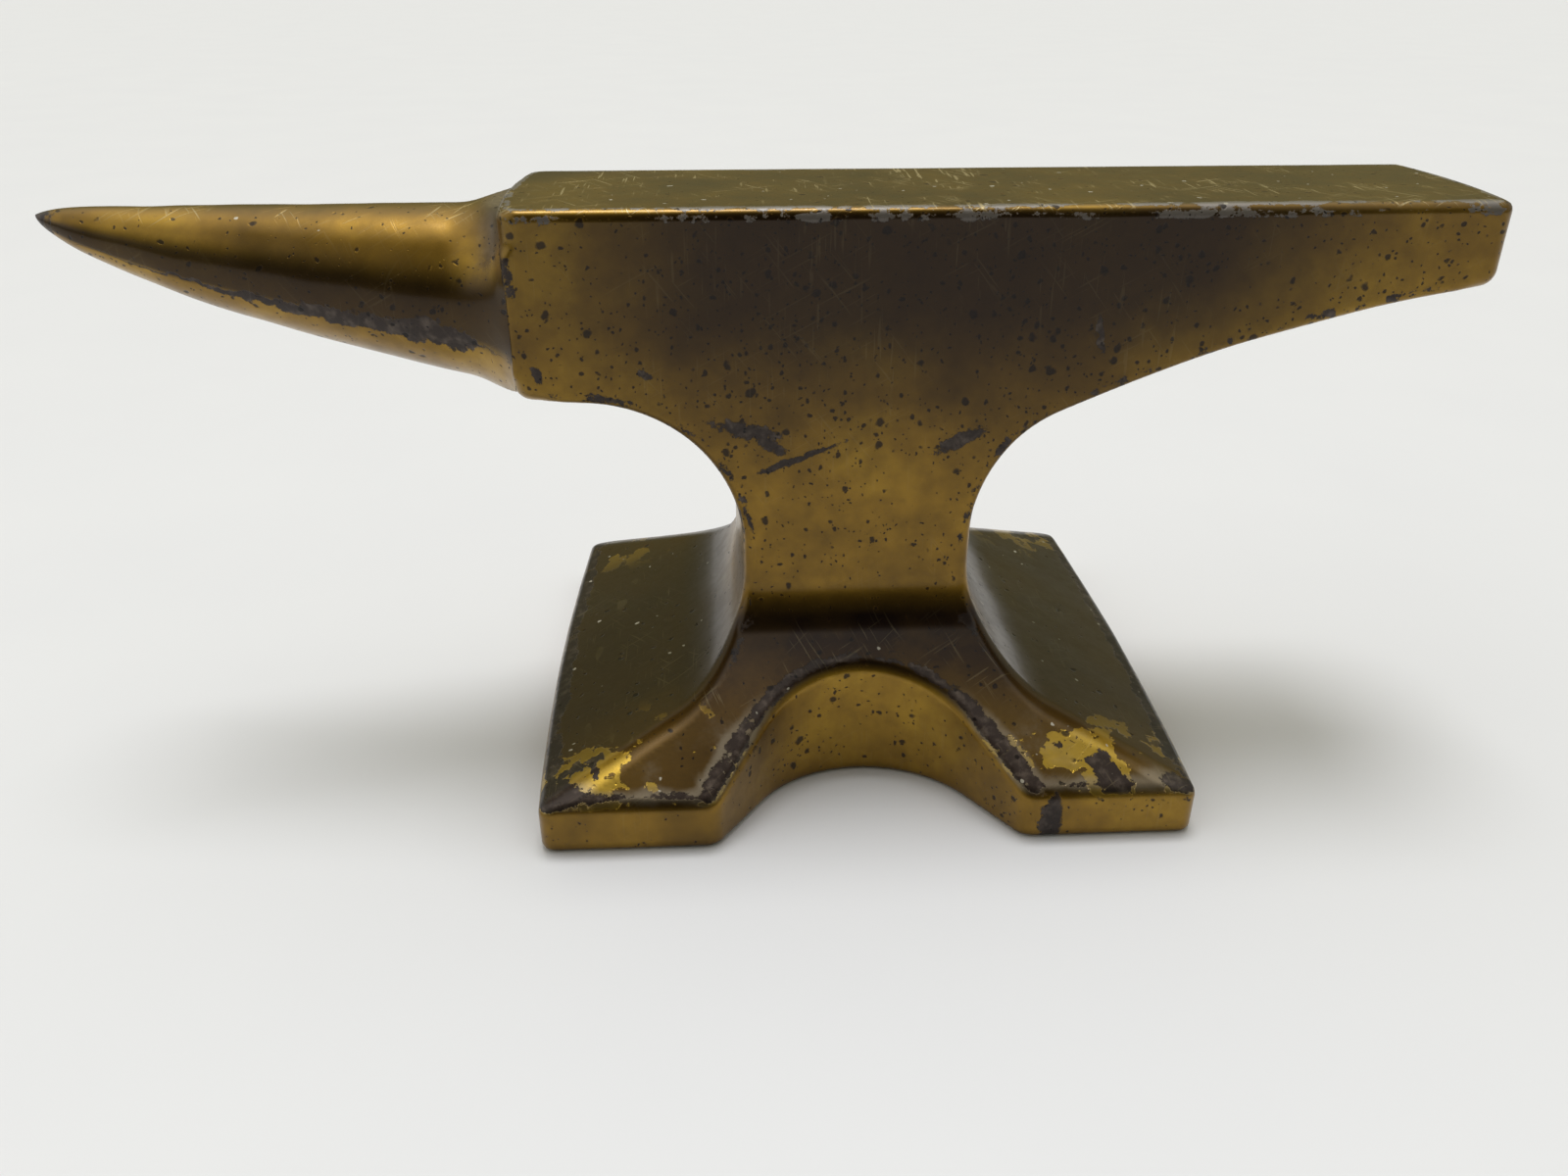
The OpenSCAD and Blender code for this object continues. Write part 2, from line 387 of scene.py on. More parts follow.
    def slope(self, points: Array, reach: float = 0.04) -> tuple[Array, Array]:
        """The distance and its gradient, from four nearby samples of each point."""
        taps = np.array([(1, -1, -1), (-1, -1, 1), (-1, 1, -1), (1, 1, 1)], float)
        values = [self.distance(points + reach * tap) for tap in taps]
        gradient = sum(value[:, None] * tap for value, tap in zip(values, taps)) / (4 * reach)
        return sum(values) / 4, gradient


@dataclass
class Casting:
    """Meshes the form finely and divides it at the frame's seams, one closed piece to a member."""

    form: CastForm
    step: float = 0.4
    edge_reach: float = 1.5
    crease_reach: float = 4.0
    hollow_reach: float = 2.0

    def skin(self) -> bpy.types.Mesh:
        """The whole skin as one mesh in millimetres, every point drawn onto the true surface."""
        low = np.array([-27.013, -30.017, -2.011])
        high = np.array([67.0, 30.0, 55.0])
        counts = tuple(int(n) for n in np.ceil((high - low) / self.step))
        values = self.form.sampled(low, counts, self.step)
        grid = openvdb.FloatGrid(3.0)
        grid.copyFromArray(np.clip(values / self.step, -3.0, 3.0).astype(np.float32))
        points, quads = grid.convertToQuads(0.0)
        points = points.astype(float) * self.step + low
        for _ in range(3):
            value, gradient = self.form.slope(points)
            length = np.maximum((gradient**2).sum(1), 0.25)
            points = points - np.clip(value / length, -0.3, 0.3)[:, None] * gradient
        a, b, c = points[quads[:, 0]], points[quads[:, 1]], points[quads[:, 2]]
        middle = points[quads].mean(1)
        _, gradient = self.form.slope(middle)
        if (np.cross(b - a, c - a) * gradient).sum() < 0:
            quads = quads[:, ::-1]
        mesh = bpy.data.meshes.new("skin")
        mesh.from_pydata(points.tolist(), [], quads.tolist())
        return mesh

    @staticmethod
    def _halve(source: bmesh.types.BMesh, axis: int, place: float) -> list[bmesh.types.BMesh]:
        """Cuts a closed mesh at a plane into its low and high halves, each closed again."""
        normal = [float(way == axis) for way in range(3)]
        spot = [place * part for part in normal]
        halves = []
        for low in (True, False):
            half = source if not low else source.copy()
            geometry = half.verts[:] + half.edges[:] + half.faces[:]
            bmesh.ops.bisect_plane(half, geom=geometry, dist=1e-5, plane_co=spot, plane_no=normal,
                                   clear_outer=low, clear_inner=not low)
            rim = [edge for edge in half.edges if edge.is_boundary]
            caps = bmesh.ops.holes_fill(half, edges=rim, sides=0)["faces"]
            layer = half.faces.layers.int.get("cap")
            made = bmesh.ops.triangulate(half, faces=caps, ngon_method="EAR_CLIP")["faces"]
            for face in made:
                face[layer] = 1
            halves.append(half)
        return halves

    def members(self) -> dict[Member, bmesh.types.BMesh]:
        """Divides the skin at the seams.

        Returns:
            One closed mesh in millimetres for each member but the horn.
        """
        s = self.form.sizes
        whole = bmesh.new()
        mesh = self.skin()
        whole.from_mesh(mesh)
        bpy.data.meshes.remove(mesh)
        whole.faces.layers.int.new("cap")
        low, high = self._halve(whole, 2, s.waist_top)
        block, plate = self._halve(high, 2, s.height - s.plate_thickness)
        body, heel = self._halve(block, 0, s.middle_x + s.heel_seam)
        base, waist = self._halve(low, 2, s.waist_foot)
        left, rest = self._halve(base, 0, s.middle_x - s.foot_seam)
        core, right = self._halve(rest, 0, s.middle_x + s.foot_seam)
        front_left, back_left = self._halve(left, 1, 0.0)
        front_right, back_right = self._halve(right, 1, 0.0)
        return {Member.FACE_PLATE: plate, Member.UPPER_BODY: body, Member.HEEL: heel, Member.WAIST: waist,
                Member.BASE_BLOCK: core, Member.FOOT_FRONT_LEFT: front_left, Member.FOOT_BACK_LEFT: back_left,
                Member.FOOT_FRONT_RIGHT: front_right, Member.FOOT_BACK_RIGHT: back_right}

    @staticmethod
    def _read(source: Any, name: str, width: int = 1, kind: type = np.int32) -> Array:
        """Reads one property of every item into a flat array."""
        values = np.empty(len(source) * width, kind)
        source.foreach_get(name, values)
        return values

    def finish(self, member: Member, source: bmesh.types.BMesh) -> bpy.types.Object:
        """Turns one member into an object with true normals and the edge and hollow attributes for its wear and
        painted shade.

        Args:
            member: Which member it is.
            source: Its closed mesh in millimetres.

        Returns:
            The object, at the origin and in metres.
        """
        mesh = bpy.data.meshes.new(f"{member.value}_casting")
        source.to_mesh(mesh)
        source.free()
        points = self._read(mesh.vertices, "co", 3, float).reshape(-1, 3)
        _, gradient = self.form.slope(points)
        normals = gradient / np.maximum(np.linalg.norm(gradient, axis=1, keepdims=True), 1e-6)
        # the base's blunt creases only show from deeper down, and rub only where they face up
        deep, thin, reach = self.crease_reach, self.edge_reach, self.hollow_reach
        broad = (deep + self.form.distance(points - deep * normals, soled=False)) / deep / 0.3
        broad = np.clip(broad, 0, 1) * (1 - ease(points[:, 2], 13.0, 18.0)) * ease(normals[:, 2], 0.2, 0.7)
        edge = np.maximum(broad, (thin + self.form.distance(points - thin * normals)) / thin / 0.28)
        hollow = (reach - self.form.distance(points + reach * normals)) / reach / 0.25
        for name, values in (("edge", edge), ("hollow", hollow)):
            layer = mesh.attributes.new(name, "FLOAT", "POINT")
            layer.data.foreach_set("value", np.clip(values, 0.0, 1.0).astype(np.float32))
        caps = self._read(mesh.attributes["cap"].data, "value")
        mesh.attributes.remove(mesh.attributes["cap"])
        mesh.polygons.foreach_set("use_smooth", caps == 0)
        corner_points = self._read(mesh.loops, "vertex_index")
        totals = self._read(mesh.polygons, "loop_total")
        flat = np.repeat(self._read(mesh.polygons, "normal", 3, float).reshape(-1, 3), totals, axis=0)
        on_cap = np.repeat(caps == 1, totals)
        corners = np.where(on_cap[:, None], flat, normals[corner_points])
        mesh.vertices.foreach_set("co", (points * MM).ravel())
        mesh.update()
        mesh.normals_split_custom_set(corners.tolist())
        piece = bpy.data.objects.new(f"{member.value}_casting", mesh)
        bpy.context.scene.collection.objects.link(piece)
        return piece


class Graph:
    """A node tree under construction, for a material or for geometry."""

    def __init__(self, tree: bpy.types.NodeTree) -> None:
        """Starts from an empty tree."""
        self.tree = tree
        tree.nodes.clear()

    def add(self, kind: str, feeds: dict[Union[int, str], Any] | None = None, **settings: Any) -> bpy.types.Node:
        """Adds one node with its settings, values and links.

        Args:
            kind: Blender's name for the node type.
            feeds: For each input, by name or number, a value or the output that drives it.
            settings: Properties of the node itself.

        Returns:
            The new node.
        """
        node = self.tree.nodes.new(kind)
        for name, value in settings.items():
            setattr(node, name, value)
        for key, value in (feeds or {}).items():
            if isinstance(value, bpy.types.Node):
                value = next(out for out in value.outputs if out.enabled)
            if isinstance(value, bpy.types.NodeSocket):
                self.tree.links.new(value, node.inputs[key])
            else:
                node.inputs[key].default_value = value
        return node

    def math(self, operation: str, *values: Any, clamp: bool = False) -> bpy.types.Node:
        """Adds a calculation on one, two or three values."""
        return self.add("ShaderNodeMath", dict(enumerate(values)), operation=operation, use_clamp=clamp)


@dataclass
class HornRule:
    """The round horn, made by rule along a straight line from its tip to the body."""

    sizes: AnvilSizes
    root_radius: float = 8.1
    bluntness: float = 0.602
    drop: float = 1.2
    tip_dip: float = 0.6
    flare_height: float = 2.7
    flare_length: float = 4.6
    rings: int = 190
    sides: int = 144

    def tree(self, finish: bpy.types.Material) -> bpy.types.NodeTree:
        """Builds the geometry tree, with the horn's sizes as its named inputs.

        Args:
            finish: The material that the horn is set to.

        Returns:
            The geometry tree.
        """
        tree = bpy.data.node_groups.new("horn_by_rule", "GeometryNodeTree")
        for name, value in (("Length", self.sizes.horn_length), ("Root Radius", self.root_radius),
                            ("Bluntness", self.bluntness), ("Top Height", self.sizes.height - self.drop),
                            ("Tip Dip", self.tip_dip), ("Flare Height", self.flare_height),
                            ("Flare Length", self.flare_length), ("Half Width", self.sizes.face_width / 2 - 0.06),
                            ("Body Top", self.sizes.height - 0.62), ("Root X", self.sizes.step_x),
                            ("Bow", self.sizes.step_bow)):
            socket = tree.interface.new_socket(name, in_out="INPUT", socket_type="NodeSocketFloat")
            socket.default_value = value
        for name, value in (("Rings", self.rings), ("Sides", self.sides)):
            socket = tree.interface.new_socket(name, in_out="INPUT", socket_type="NodeSocketInt")
            socket.default_value = value
        tree.interface.new_socket("Geometry", in_out="OUTPUT", socket_type="NodeSocketGeometry")
        graph = Graph(tree)
        calc = graph.math
        size = graph.add("NodeGroupInput").outputs
        line = graph.add("GeometryNodeCurvePrimitiveLine", {"Start": (0, 0, 0), "End": (1, 0, 0)})
        path = graph.add("GeometryNodeResampleCurve", {"Curve": line, "Count": size["Rings"]})
        # rings crowd towards the tip, where the horn narrows fastest
        share = graph.add("GeometryNodeSplineParameter").outputs["Factor"]
        crowded = calc("MULTIPLY", calc("POWER", share, 1.7), size["Length"])
        place = graph.add("ShaderNodeCombineXYZ", {"X": crowded})
        path = graph.add("GeometryNodeSetPosition", {"Geometry": path, "Position": place})
        along = graph.add("ShaderNodeSeparateXYZ", {0: graph.add("GeometryNodeInputPosition")}).outputs["X"]
        taper = calc("POWER", calc("DIVIDE", along, size["Length"]), size["Bluntness"])
        cone = calc("MULTIPLY", taper, size["Root Radius"])
        start = calc("SUBTRACT", size["Length"], size["Flare Length"])
        ramp = calc("DIVIDE", calc("SUBTRACT", along, start), size["Flare Length"], clamp=True)
        round_off = calc("SUBTRACT", 1.0, calc("SQRT", calc("SUBTRACT", 1.0, calc("MULTIPLY", ramp, ramp))))
        radius = calc("ADD", cone, calc("MULTIPLY", round_off, size["Flare Height"]))
        path = graph.add("GeometryNodeSetCurveRadius", {"Curve": path, "Radius": radius})
        ring = graph.add("GeometryNodeCurvePrimitiveCircle", {"Resolution": size["Sides"], "Radius": 1.0})
        tube = graph.add("GeometryNodeCurveToMesh", {"Curve": path, "Profile Curve": ring, "Fill Caps": True})
        if "Scale" in tube.inputs:
            graph.tree.links.new(radius.outputs[0], tube.inputs["Scale"])
        spot = graph.add("ShaderNodeSeparateXYZ", {0: graph.add("GeometryNodeInputPosition")}).outputs
        # how far along and how far round each point lies, for the finish to read
        around = calc("ARCTAN2", spot["Z"], calc("MULTIPLY", spot["Y"], -1.0))
        tilt = calc("ARCTAN2", spot["Z"], calc("ABSOLUTE", spot["Y"]))
        reach = calc("DIVIDE", spot["X"], size["Length"])
        mesh = tube
        for name, value in (("around", around), ("tilt", tilt), ("along", reach)):
            mesh = graph.add("GeometryNodeStoreNamedAttribute", {"Geometry": mesh, "Name": name, "Value": value},
                             data_type="FLOAT", domain="POINT")
        # the middle falls as the horn thickens, so that its top stays level
        fat = calc("MULTIPLY", calc("POWER", calc("MAXIMUM", reach, 0.0), size["Bluntness"]), size["Root Radius"])
        dip = calc("MULTIPLY", calc("EXPONENT", calc("MULTIPLY", spot["X"], -0.6667)), size["Tip Dip"])
        middle = calc("SUBTRACT", calc("SUBTRACT", size["Top Height"], dip), fat)
        rise = calc("ADD", spot["Z"], middle)
        high = calc("SMOOTH_MIN", rise, size["Body Top"], 0.5)
        across = calc("ABSOLUTE", calc("DIVIDE", spot["Y"], size["Half Width"]))
        corner = calc("MULTIPLY", calc("POWER", across, 4.0), 1.7)
        high = calc("SMOOTH_MAX", high, calc("ADD", calc("SUBTRACT", size["Body Top"], 15.9), corner), 0.35)
        wide = calc("SMOOTH_MIN", spot["Y"], size["Half Width"], 0.5)
        wide = calc("SMOOTH_MAX", wide, calc("MULTIPLY", size["Half Width"], -1.0), 0.5)
        # the root follows the body's bowed end, and stands 0.15 mm inside it
        bend = calc("MULTIPLY", calc("MULTIPLY", wide, wide), calc("DIVIDE", size["Bow"], 104.0))
        tuck = calc("MULTIPLY", calc("ADD", bend, 0.15), calc("POWER", calc("MAXIMUM", reach, 0.0), 40.0))
        place = calc("ADD", calc("SUBTRACT", calc("ADD", spot["X"], size["Root X"]), size["Length"]), tuck)
        set_to = graph.add("ShaderNodeCombineXYZ", {"X": place, "Y": wide, "Z": high})
        mesh = graph.add("GeometryNodeSetPosition", {"Geometry": mesh, "Position": set_to})
        mesh = graph.add("GeometryNodeMergeByDistance", {"Geometry": mesh, "Distance": 0.002})
        # the slow unevenness of a hand-polished casting
        wave = graph.add("ShaderNodeTexNoise", {"Scale": 0.16, "Detail": 1.0, "Roughness": 0.4})
        lift = calc("MULTIPLY", calc("SUBTRACT", wave.outputs[0], 0.5), calc("MULTIPLY", reach, 0.22))
        push = graph.add("ShaderNodeVectorMath", {0: graph.add("GeometryNodeInputNormal"), "Scale": lift},
                         operation="SCALE")
        mesh = graph.add("GeometryNodeSetPosition", {"Geometry": mesh, "Offset": push})
        mesh = graph.add("GeometryNodeTransform", {"Geometry": mesh, "Scale": (MM, MM, MM)})
        mesh = graph.add("GeometryNodeSetShadeSmooth", {0: mesh})
        mesh = graph.add("GeometryNodeRealizeInstances", {"Geometry": mesh})
        mesh = graph.add("GeometryNodeSetMaterial", {"Geometry": mesh, "Material": finish})
        graph.add("NodeGroupOutput", {0: mesh})
        return tree

    def build(self, finish: bpy.types.Material) -> bpy.types.Object:
        """Runs the tree once and keeps its result as a plain mesh."""
        carrier = bpy.data.objects.new("horn_maker", bpy.data.meshes.new("horn_maker"))
        bpy.context.scene.collection.objects.link(carrier)
        rule = carrier.modifiers.new("horn_by_rule", "NODES")
        rule.node_group = self.tree(finish)
        # each input is set by its socket's own identifier, before the tree is first evaluated
        for socket in rule.node_group.interface.items_tree:
            if socket.in_out == "INPUT":
                rule[socket.identifier] = socket.default_value
        shaped = carrier.evaluated_get(bpy.context.evaluated_depsgraph_get())
        mesh = bpy.data.meshes.new_from_object(shaped)
        bpy.data.objects.remove(carrier)
        mesh.name = "horn_casting"
        work = bmesh.new()
        work.from_mesh(mesh)
        if work.calc_volume(signed=True) < 0:
            bmesh.ops.reverse_faces(work, faces=work.faces[:])
        work.to_mesh(mesh)
        work.free()
        piece = bpy.data.objects.new("horn_casting", mesh)
        bpy.context.scene.collection.objects.link(piece)
        return piece


def linear(code: str, alpha: float = 1.0) -> tuple[float, float, float, float]:
    """Turns an sRGB hex colour to linear light."""
    parts = [int(code.lstrip("#")[i:i + 2], 16) / 255 for i in (0, 2, 4)]
    lit = [c / 12.92 if c <= 0.04045 else ((c + 0.055) / 1.055) ** 2.4 for c in parts]
    return lit[0], lit[1], lit[2], alpha


class Paint:
    """The readings that a finish is mixed from, all in the piece's own millimetres."""

    def __init__(self, graph: Graph) -> None:
        """Reads position and facing once, and bends the position a little for natural patterns."""
        self.graph = graph
        place = graph.add("ShaderNodeTexCoord").outputs["Object"]
        self.place = graph.add("ShaderNodeVectorMath", {0: place, "Scale": 1.0 / MM}, operation="SCALE").outputs[0]
        self.spot = graph.add("ShaderNodeSeparateXYZ", {0: self.place}).outputs
        normal = graph.add("ShaderNodeNewGeometry").outputs["Normal"]
        self.facing = graph.add("ShaderNodeSeparateXYZ", {0: normal}).outputs
        bend = graph.add("ShaderNodeTexNoise", {"Vector": self.place, "Scale": 0.9, "Detail": 2.0}).outputs["Color"]
        self.drift = graph.add("ShaderNodeVectorMath", {0: bend, 1: (0.9, 0.9, 0.9), 2: self.place},
                               operation="MULTIPLY_ADD").outputs[0]

    def noise(self, scale: float, detail: float = 3.0, rough: float = 0.55, source: Any = None) -> Any:
        """A noise pattern whose features are about 1 / scale millimetres across."""
        return self.graph.add("ShaderNodeTexNoise", {"Vector": source or self.place, "Scale": scale, "Detail": detail,
                                                     "Roughness": rough}).outputs["Fac"]

    def rise(self, value: Any, low: float, high: float) -> Any:
        """A smooth rise from 0 at low to 1 at high."""
        return self.graph.add("ShaderNodeMapRange", {"Value": value, "From Min": low, "From Max": high},
                              interpolation_type="SMOOTHSTEP").outputs["Result"]

    def blend(self, share: Any, first: Any, second: Any) -> Any:
        """A mix of two colours, the second either a hex code or another colour."""
        second = linear(second) if isinstance(second, str) else second
        return self.graph.add("ShaderNodeMix", {"Factor": share, 6: first, 7: second}, data_type="RGBA").outputs[2]

    def mark(self, name: str) -> Any:
        """A value that the piece's own mesh carries."""
        return self.graph.add("ShaderNodeAttribute", attribute_name=name).outputs["Fac"]


@dataclass(frozen=True)
class Scar:
    """A place where the plating has been knocked or scraped off, on the body's side."""

    x: float
    z: float
    length: float
    width: float
    turn: float
    front: bool = True


@dataclass(frozen=True)
class WornBrassPlate:
    """Brass-coloured plating, lacquered and darkened with age, over a dark grey casting, with shade painted over it.

    It was tumbled smooth, plated and lacquered: the eye gets a deep golden-brown metal with a soft gloss, small
    dark pits where the plating has failed, and dull grey metal along the parts that rub.
    """

    zone: Zone
    deep: str = "#5a4315"
    body: str = "#86661e"
    light: str = "#a48127"
    painted_shade: str = "#20130a"
    pit: str = "#1a110d"
    bare: str = "#322924"
    bare_light: str = "#5b5047"
    bare_edge_with_highlight: str = "#78726c"
    scratch: str = "#b3a47c"
    fresh: str = "#a88a30"
    burnished_and_sheen: str = "#8c8373"
    dust: str = "#b5b0a2"
    roughness: float = 0.34
    gloss: float = 0.42
    pits: float = 0.9
    edge_wear: float = 0.26
    base_wear: float = 0.14
    upward_painted_shade: float = 0.82
    scratches: float = 0.9
    painted_shade_rise: tuple[float, float] = (23.5, 44.0)
    scars: tuple[Scar, ...] = ()

    def material(self) -> bpy.types.Material:
        """Builds the finish as a node material that reads the piece's own coordinates.

        Returns:
            The material.
        """
        made = bpy.data.materials.new(self.zone.value)
        made.use_nodes = True
        paint = Paint(Graph(made.node_tree))
        rise, noise = paint.rise, paint.noise
        add, calc = paint.graph.add, paint.graph.math
        cloud = rise(noise(0.6, 5.0, 0.65), 0.36, 0.68)
        pitted = self._pits(paint)
        bare = self._bare(paint)
        lifted, shore, exposed = self._flakes(paint)
        bare = calc("MAXIMUM", bare, exposed)
        lines = self._scratches(paint)
        specks = self._dust(paint)

        colour = self._tone(paint, cloud)
        # the painted shade goes over the plating, but not over the lifted flakes
        colour = paint.blend(calc("MULTIPLY", self._shade_to_paint(paint), calc("SUBTRACT", 1.0, lifted)), colour, self.painted_shade)
        colour = paint.blend(lifted, colour, self.fresh)
        grey = paint.blend(rise(noise(0.9, 4.0), 0.45, 0.8), linear(self.bare), self.bare_light)
        # along the face's edge the bare metal is a lighter grey: partly bare metal, partly a painted highlight
        grey = paint.blend(rise(paint.spot["Z"], 50.4, 51.6), grey, self.bare_edge_with_highlight)
        # the grey haze on the base: partly polished wear, partly a painted sheen
        colour = paint.blend(self._rubbed_and_sheen(paint), colour, self.burnished_and_sheen)
        colour = paint.blend(bare, colour, grey)
        colour = paint.blend(calc("MULTIPLY", pitted, 0.82), colour, self.pit)
        colour = paint.blend(calc("MULTIPLY", lines, 0.7), colour, self.scratch)
        colour = paint.blend(specks, colour, self.dust)

        rough = calc("ADD", self.roughness, calc("MULTIPLY", cloud, 0.07))
        for share, mask in ((0.16, bare), (0.2, pitted), (0.1, lines), (0.3, specks), (-0.08, lifted)):
            rough = calc("ADD", rough, calc("MULTIPLY", mask, share))
        # relief in millimetres: orange peel, pits, the plating's thickness at its shores, scratches
        relief = calc("MULTIPLY", noise(1.3, 3.0), 0.008)
        for depth, mask in ((-0.05, pitted), (-0.035, bare), (-0.03, shore), (-0.012, lines)):
            relief = calc("ADD", relief, calc("MULTIPLY", mask, depth))
        bump = add("ShaderNodeBump", {"Height": relief, "Strength": 1.0, "Distance": MM})
        shader = add("ShaderNodeBsdfPrincipled", {
            "Base Color": colour, "Metallic": 1.0, "Roughness": rough, "Normal": bump,
            "Coat Weight": self.gloss, "Coat Roughness": 0.18, "Coat IOR": 1.5})
        add("ShaderNodeOutputMaterial", {"Surface": shader})
        return made

    def _tone(self, paint: Paint, cloud: Any) -> Any:
        """The plating's own colour: slow and quick changes in how thick and how dark the lacquer is."""
        tone = paint.graph.add("ShaderNodeValToRGB", {"Fac": paint.noise(0.08, 4.0, 0.6)})
        ramp = tone.color_ramp
        ramp.elements[0].position, ramp.elements[0].color = 0.26, linear(self.deep)
        ramp.elements[1].position, ramp.elements[1].color = 0.7, linear(self.light)
        ramp.elements.new(0.5).color = linear(self.body)
        return paint.blend(paint.graph.math("MULTIPLY", cloud, 0.2), tone.outputs["Color"], self.deep)

    def _shade_to_paint(self, paint: Paint) -> Any:
        """Painted shade: a dark reflection up the sides under the face or along the horn, and shade in the hollows.
        """
        calc = paint.graph.math
        rise, noise, spot, facing, mark = paint.rise, paint.noise, paint.spot, paint.facing, paint.mark
        wobble = calc("MULTIPLY", noise(0.12, 3.0), 7.0)
        # painted shade in the hollows
        hollow = rise(calc("ADD", mark("hollow"), calc("MULTIPLY", noise(0.3), 0.4)), 0.3, 0.95)
        # on the horn, the painted shade is a dark reflection in a stripe along its middle
        if self.zone is Zone.HORN:
            reflection_band = calc("MULTIPLY", rise(mark("tilt"), -0.42, -0.24),
                        calc("SUBTRACT", 1.0, rise(mark("tilt"), 0.2, 0.62)))
            return calc("MAXIMUM", calc("MULTIPLY", reflection_band, 0.88), calc("MULTIPLY", hollow, 0.5))
        upright = calc("SUBTRACT", 1.0, calc("MULTIPLY", facing["Z"], facing["Z"]))
        # the painted dark reflection follows the heel's rising underside, and is weaker towards the ends
        under_heel = calc("MULTIPLY", calc("MAXIMUM", calc("SUBTRACT", spot["X"], 24.0), 0.0), -0.26)
        high = calc("ADD", calc("ADD", spot["Z"], under_heel), wobble)
        high = rise(high, self.painted_shade_rise[0] + 3.5, self.painted_shade_rise[1] + 3.5)
        near = calc("SUBTRACT", 1.0, calc("MULTIPLY", 0.62, rise(
            calc("ABSOLUTE", calc("SUBTRACT", calc("ADD", spot["X"], wobble), 20.0)), 20.0, 44.0)))
        high = calc("MULTIPLY", calc("MULTIPLY", high, near), calc("MULTIPLY", upright, 0.95))
        below = calc("SUBTRACT", 1.0, calc("MULTIPLY", rise(spot["Z"], 45.0, 50.0), 0.62))
        # painted dark reflection on the slopes that face up, stronger on those facing front or back, weaker near the
        # face and the feet
        slope_shade = calc("MULTIPLY", calc("MULTIPLY", rise(facing["Z"], 0.25, 0.7), self.upward_painted_shade), below)
        slope_shade = calc("MULTIPLY", slope_shade, calc("ADD", 0.75, calc("MULTIPLY", noise(0.16, 4.0), 0.5)))
        fronted = calc("MULTIPLY", rise(calc("ABSOLUTE", facing["Y"]), 0.15, 0.45),
                       rise(spot["Z"], 6.0, 12.0))
        slope_shade = calc("MULTIPLY", slope_shade, calc("ADD", 1.0, calc("MULTIPLY", fronted, 0.18)), clamp=True)
        near_feet = rise(calc("ABSOLUTE", spot["Y"]), 12.0, 24.0)
        slope_shade = calc("MULTIPLY", slope_shade, calc("SUBTRACT", 1.0, calc("MULTIPLY", near_feet, 0.16)))
        return calc("MAXIMUM", calc("MAXIMUM", high, slope_shade), calc("MULTIPLY", hollow, 0.85))

    def _pits(self, paint: Paint) -> Any:
        """Small dark pits in two sizes, thicker in some places than in others."""
        calc = paint.graph.math
        rise = paint.rise
        crowd = rise(calc("ADD", paint.noise(0.1, 2.0), calc("MULTIPLY", paint.spot["Z"], 0.003)), 0.4, 0.64)
        pitted: Any = 0.0
        upward = calc("MULTIPLY", rise(paint.facing["Z"], 0.3, 0.7), 0.8)
        crowd = calc("MULTIPLY", crowd, calc("SUBTRACT", 1.0, upward))
        for cell, chance, size in ((1.9, 0.5, 0.2), (1.15, 0.8, 0.24), (0.5, 0.65, 0.26)):
            cells = paint.graph.add("ShaderNodeTexVoronoi", {"Vector": paint.drift, "Scale": 1.0 / cell})
            pick = paint.graph.add("ShaderNodeSeparateColor", {0: cells.outputs["Color"]}).outputs
            share = calc("MULTIPLY", calc("ADD", calc("MULTIPLY", crowd, 0.86), 0.14), chance * self.pits)
            reach = calc("MULTIPLY", calc("ADD", calc("MULTIPLY", pick[1], 0.7), 0.3), size)
            dot = rise(calc("SUBTRACT", reach, cells.outputs["Distance"]), -0.06, 0.05)
            pitted = calc("MAXIMUM", pitted, calc("MULTIPLY", dot, calc("LESS_THAN", pick[0], share)))
        return pitted

    def _bare(self, paint: Paint) -> Any:
        """Bare grey metal: along the edges that rub, and in the scars on the body's sides."""
        calc = paint.graph.math
        rise, noise, spot, mark = paint.rise, paint.noise, paint.spot, paint.mark
        ragged = noise(0.3, 7.0, 0.72)
        raised = calc("MULTIPLY", mark("edge"), rise(spot["Z"], 0.6, 3.4))
        low = calc("SUBTRACT", 1.0, rise(spot["Z"], 12.0, 18.0))
        wear = calc("ADD", calc("MULTIPLY", low, self.base_wear), self.edge_wear)
        # more bare metal along the face's edge, whose lighter grey is partly a painted highlight
        on_face = rise(spot["Z"], 51.1, 51.8)
        wear = calc("ADD", wear, calc("MULTIPLY", on_face, 0.1))
        rubbed = calc("ADD", calc("MULTIPLY", raised, wear), calc("MULTIPLY", ragged, 1.2))
        bare = rise(rubbed, 0.88, 0.92)
        grain = calc("MULTIPLY", noise(0.9, 6.0, 0.8), 1.9)
        for scar in self.scars:
            place = paint.graph.add("ShaderNodeMapping", {
                "Vector": paint.drift, "Location": (scar.x, 0.0, scar.z),
                "Rotation": (0.0, math.radians(-scar.turn), 0.0),
                "Scale": (scar.length / 2, 1000.0, scar.width / 2)}, vector_type="TEXTURE")
            away = paint.graph.add("ShaderNodeVectorMath", {0: place}, operation="LENGTH").outputs["Value"]
            mask = rise(calc("SUBTRACT", grain, away), 0.12, 0.3)
            side = calc("LESS_THAN", calc("MULTIPLY", spot["Y"], 1.0 if scar.front else -1.0), -6.0)
            bare = calc("MAXIMUM", bare, calc("MULTIPLY", mask, side))
        if self.zone is not Zone.HORN:
            return bare
